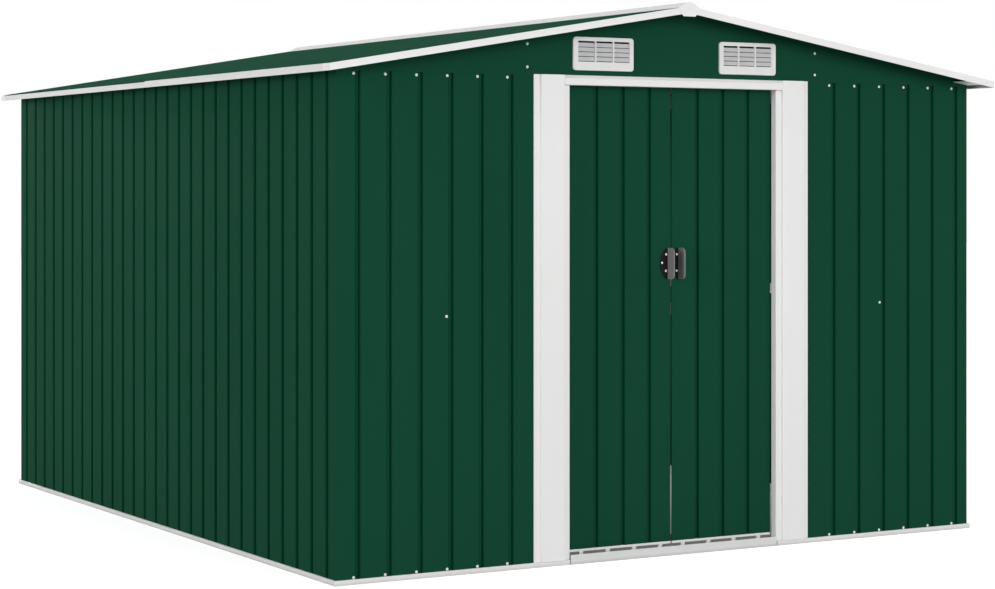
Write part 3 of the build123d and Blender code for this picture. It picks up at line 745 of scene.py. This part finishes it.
def louvred_vents():
    """Pair of moulded vents on the front gable, each with three louvred fields."""
    low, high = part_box("front_vents")
    size = Vector((vent_width, high.y - low.y, high.z - low.z))
    vent_left = high.x - vent_width
    centre = (vent_left + vent_width / 2, (low.y + high.y) / 2, (low.z + high.z) / 2)
    field_left, field_right = (vent_left + share * vent_width for share in vent_field_shares)
    field_low, field_high = (low.z + share * size.z for share in vent_field_height_shares)
    posts = [vent_left + share * vent_width for share in vent_mullion_shares]
    starts = [field_left] + [post + vent_mullion / 2 for post in posts]
    ends = [post - vent_mullion / 2 for post in posts] + [field_right]
    vent = new_box(centre, size)
    begin_edit(vent)
    select_edges(lambda edge: length_along(edge, 1) > size.y / 2)
    bpy.ops.mesh.bevel(offset=vent_corner_radius, segments=6, affect="EDGES")
    select_edges(lambda edge: on_plane(edge, 1, low.y))
    bpy.ops.mesh.bevel(offset=vent_rim, segments=3, affect="EDGES")
    for place in (field_left, field_right):
        cut_through((place, 0, 0), (1, 0, 0), keep_both=True)
    for post in posts:
        for half in (-vent_mullion / 2, vent_mullion / 2):
            cut_through((post + half, 0, 0), (1, 0, 0), keep_both=True)
    for place in (field_low, field_high):
        cut_through((0, 0, place), (0, 0, 1), keep_both=True)
    for start, end in zip(starts, ends):
        select_faces(
            lambda middle, normal: abs(normal.y) > facing
            and start < middle.x < end
            and field_low < middle.z < field_high
        )
        bpy.ops.mesh.bridge_edge_loops()
    end_edit()
    slats = vent_slats(field_left, field_right, field_low, field_high, low.y)
    vent.data.materials.append(finishes["white_vent"])
    # painted shade on the slats
    slats.data.materials.append(slat_shade_finish)
    vents = joined([vent, slats])
    apply_modifier(vents, "MIRROR", use_axis=(True, False, False), use_mirror_merge=False)
    smooth(vents)
    return vents


front_vent_pair = louvred_vents()
rear_vent_pair = copied(front_vent_pair, (0, 0, 0), turn=math.pi)
dress(front_vent_pair, "front_louvred_vents", "white_vent", "shed", "front_vents")
dress(rear_vent_pair, "rear_louvred_vents", "white_vent", "shed", "rear_vents")


# Stage
def calculated(tree, operation, first, second):
    """Result of a sum on two sockets, or on a socket and a number."""
    step = tree.nodes.new("ShaderNodeMath")
    step.operation = operation
    tree.links.new(first, step.inputs[0])
    if isinstance(second, float):
        step.inputs[1].default_value = second
    else:
        tree.links.new(second, step.inputs[1])
    return step.outputs["Value"]


def seen_directly(tree, seen, unseen):
    """One strength for what the camera, a gloss or glass sees, and another for what only lights."""
    path = tree.nodes.new("ShaderNodeLightPath")
    total = path.outputs["Is Camera Ray"]
    for kind in ("Is Glossy Ray", "Is Transmission Ray"):
        total = calculated(tree, "MAXIMUM", total, path.outputs[kind])
    return levels(tree, total, unseen, seen)


def outside_walls(tree):
    """1 on the floor round the shed and 0 on the floor in it."""
    axes = tree.nodes.new("ShaderNodeSeparateXYZ")
    tree.links.new(tree.nodes.new("ShaderNodeTexCoord").outputs["Object"], axes.inputs["Vector"])
    beyond = []
    for axis, half in (("X", -left_corner), ("Y", rear_face)):
        away = calculated(tree, "ABSOLUTE", axes.outputs[axis], 0.0)
        beyond.append(calculated(tree, "GREATER_THAN", away, half))
    return calculated(tree, "MAXIMUM", *beyond)


def studio_floor():
    """White floor that keeps the shadow and shows white to the camera, apart from inside the shed."""
    bpy.ops.object.select_all(action="DESELECT")
    bpy.ops.mesh.primitive_plane_add(size=floor_size, location=(0, 0, 0))
    floor = bpy.context.object
    floor.name = "studio_floor"
    material = bpy.data.materials.new("studio_white")
    material.use_nodes = True
    tree = material.node_tree
    tree.nodes.remove(tree.nodes["Principled BSDF"])
    matt = tree.nodes.new("ShaderNodeBsdfDiffuse")
    matt.inputs["Color"].default_value = floor_white
    glow = tree.nodes.new("ShaderNodeEmission")
    both = tree.nodes.new("ShaderNodeAddShader")
    lit = levels(tree, outside_walls(tree), floor_glow_inside, floor_glow)
    strength = calculated(tree, "MULTIPLY", seen_directly(tree, 1.0, 0.0), lit)
    tree.links.new(strength, glow.inputs["Strength"])
    tree.links.new(matt.outputs["BSDF"], both.inputs[0])
    tree.links.new(glow.outputs["Emission"], both.inputs[1])
    tree.links.new(both.outputs["Shader"], tree.nodes["Material Output"].inputs["Surface"])
    floor.data.materials.append(material)


def studio_world():
    """White surroundings that light the shed at a plain level."""
    world = bpy.data.worlds.new("studio")
    bpy.context.scene.world = world
    world.use_nodes = True
    sky = world.node_tree.nodes["Background"]
    sky.inputs["Color"].default_value = sky_white
    strength = seen_directly(world.node_tree, 1.0, ambient_light)
    world.node_tree.links.new(strength, sky.inputs["Strength"])


def soft_sun(name, toward, strength, spread):
    """Distant soft light that shines along toward."""
    lamp = bpy.data.lights.new(name, "SUN")
    lamp.energy = strength
    lamp.angle = math.radians(spread)
    light = set_down(name, lamp)
    light.rotation_euler = Vector(toward).to_track_quat("-Z", "Y").to_euler()


def inside_light():
    """Soft lamp in the shed, so that what shows through the gaps and the doorway isn't black."""
    lamp = bpy.data.lights.new("inside_light", "POINT")
    lamp.energy = inside_power
    lamp.shadow_soft_size = inside_radius
    light = set_down("inside_light", lamp)
    light.location = inside_place


def photo_camera():
    """Camera at the photograph's place, with its framing."""
    lens = bpy.data.cameras.new("photo_camera")
    lens.sensor_fit = "HORIZONTAL"
    lens.sensor_width = sensor_width
    lens.lens = focal_pixels * sensor_width / image_width
    lens.shift_x = (image_width / 2 - centre_pixel[0]) / image_width
    lens.shift_y = (centre_pixel[1] - image_height / 2) / image_width
    camera = set_down("photo_camera", lens)
    camera.location = camera_place
    camera.rotation_euler = (math.pi / 2, 0, camera_turn)
    bpy.context.scene.camera = camera


studio_floor()
studio_world()
for name, (toward, strength, spread) in suns.items():
    soft_sun(name, toward, strength, spread)
inside_light()
photo_camera()
bpy.context.scene.view_settings.view_transform = "Standard"
